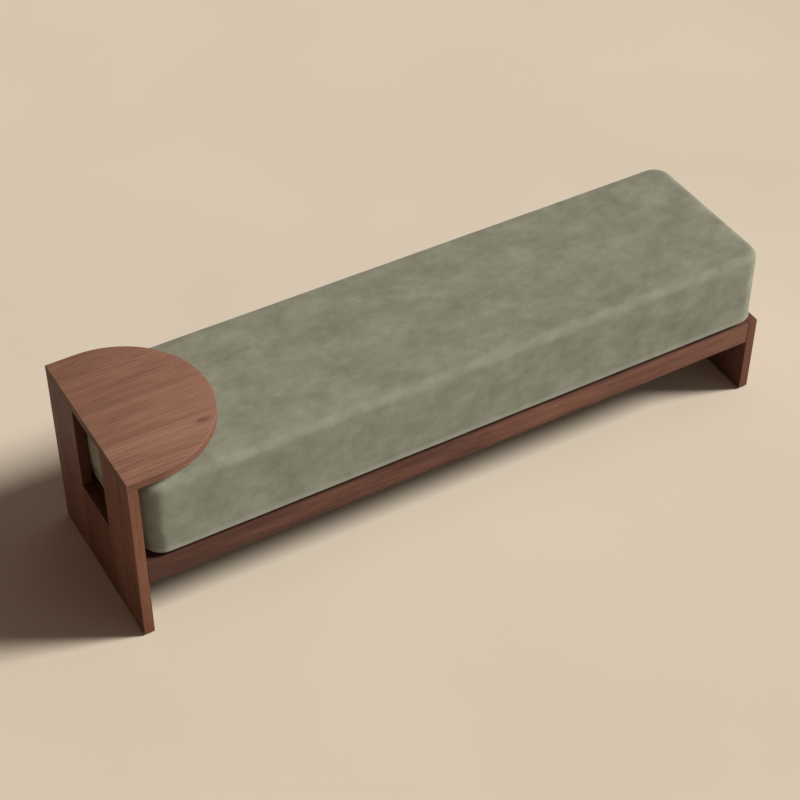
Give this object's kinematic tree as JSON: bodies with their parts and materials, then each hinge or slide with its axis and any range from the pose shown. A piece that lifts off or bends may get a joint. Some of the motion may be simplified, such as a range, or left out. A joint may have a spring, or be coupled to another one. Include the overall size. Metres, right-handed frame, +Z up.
{
  "type": "backless divan",
  "caption": "Long backless divan: a low walnut bench frame on two slab ends, a half-round table top over one end, and a thick loose suede pad that slides out endwise.",
  "frame": {"origin": "on the floor, under the middle of the bench's overall length and depth", "axes": "+X along the bench from the half-round top's end to the plain leg end, +Y from the front to the back, +Z up"},
  "size_m": [1.728, 0.45, 0.485],
  "materials": {
    "walnut_top": "satin",
    "walnut_frame": "satin",
    "stained_timber": "matte",
    "beech_dowel": "matte",
    "zinc_steel": "satin",
    "glide_nylon": "matte",
    "sage_suede": "matte",
    "zip_nylon": "matte",
    "foam": "matte"
  },
  "bodies": {
    "bench_frame": {"half_round_top": "walnut_top", "end_post_front": "walnut_frame", "end_post_back": "walnut_frame", "end_centre_panel": "walnut_frame", "right_leg_panel": "walnut_frame", "rail_front": "walnut_frame", "rail_back": "walnut_frame", "top_batten": "walnut_frame", "slat_01": "stained_timber", "slat_02": "stained_timber", "slat_03": "stained_timber", "slat_04": "stained_timber", "slat_05": "stained_timber", "slat_06": "stained_timber", "slat_07": "stained_timber", "slat_08": "stained_timber", "slat_09": "stained_timber", "slat_10": "stained_timber", "slat_11": "stained_timber", "ledger_front": "stained_timber", "ledger_back": "stained_timber", "corner_block_left_front": "stained_timber", "corner_block_left_back": "stained_timber", "corner_block_right_front": "stained_timber", "corner_block_right_back": "stained_timber", "top_dowel_front_1": "beech_dowel", "top_dowel_front_2": "beech_dowel", "top_dowel_back_1": "beech_dowel", "top_dowel_back_2": "beech_dowel", "panel_dowel_front_1": "beech_dowel", "panel_dowel_front_2": "beech_dowel", "panel_dowel_back_1": "beech_dowel", "panel_dowel_back_2": "beech_dowel", "rail_dowel_left_front_1": "beech_dowel", "rail_dowel_left_front_2": "beech_dowel", "rail_dowel_left_back_1": "beech_dowel", "rail_dowel_left_back_2": "beech_dowel", "rail_dowel_right_front_1": "beech_dowel", "rail_dowel_right_front_2": "beech_dowel", "rail_dowel_right_back_1": "beech_dowel", "rail_dowel_right_back_2": "beech_dowel", "block_screw_left_front_1": "zinc_steel", "block_screw_left_front_2": "zinc_steel", "block_screw_left_back_1": "zinc_steel", "block_screw_left_back_2": "zinc_steel", "block_screw_right_front_1": "zinc_steel", "block_screw_right_front_2": "zinc_steel", "block_screw_right_back_1": "zinc_steel", "block_screw_right_back_2": "zinc_steel", "glide_left_front": "glide_nylon", "glide_left_back": "glide_nylon", "glide_right_front": "glide_nylon", "glide_right_back": "glide_nylon"},
    "seat_pad": {"pad_cover": "sage_suede", "pad_zip": "zip_nylon", "pad_foam_base": "foam", "pad_foam_top": "foam"}
  },
  "joints": [
    {"name": "pad_slide", "type": "slide", "parent": "bench_frame", "child": "seat_pad", "axis": [1, 0, 0], "range_m": [0, 1.7]}
  ]
}
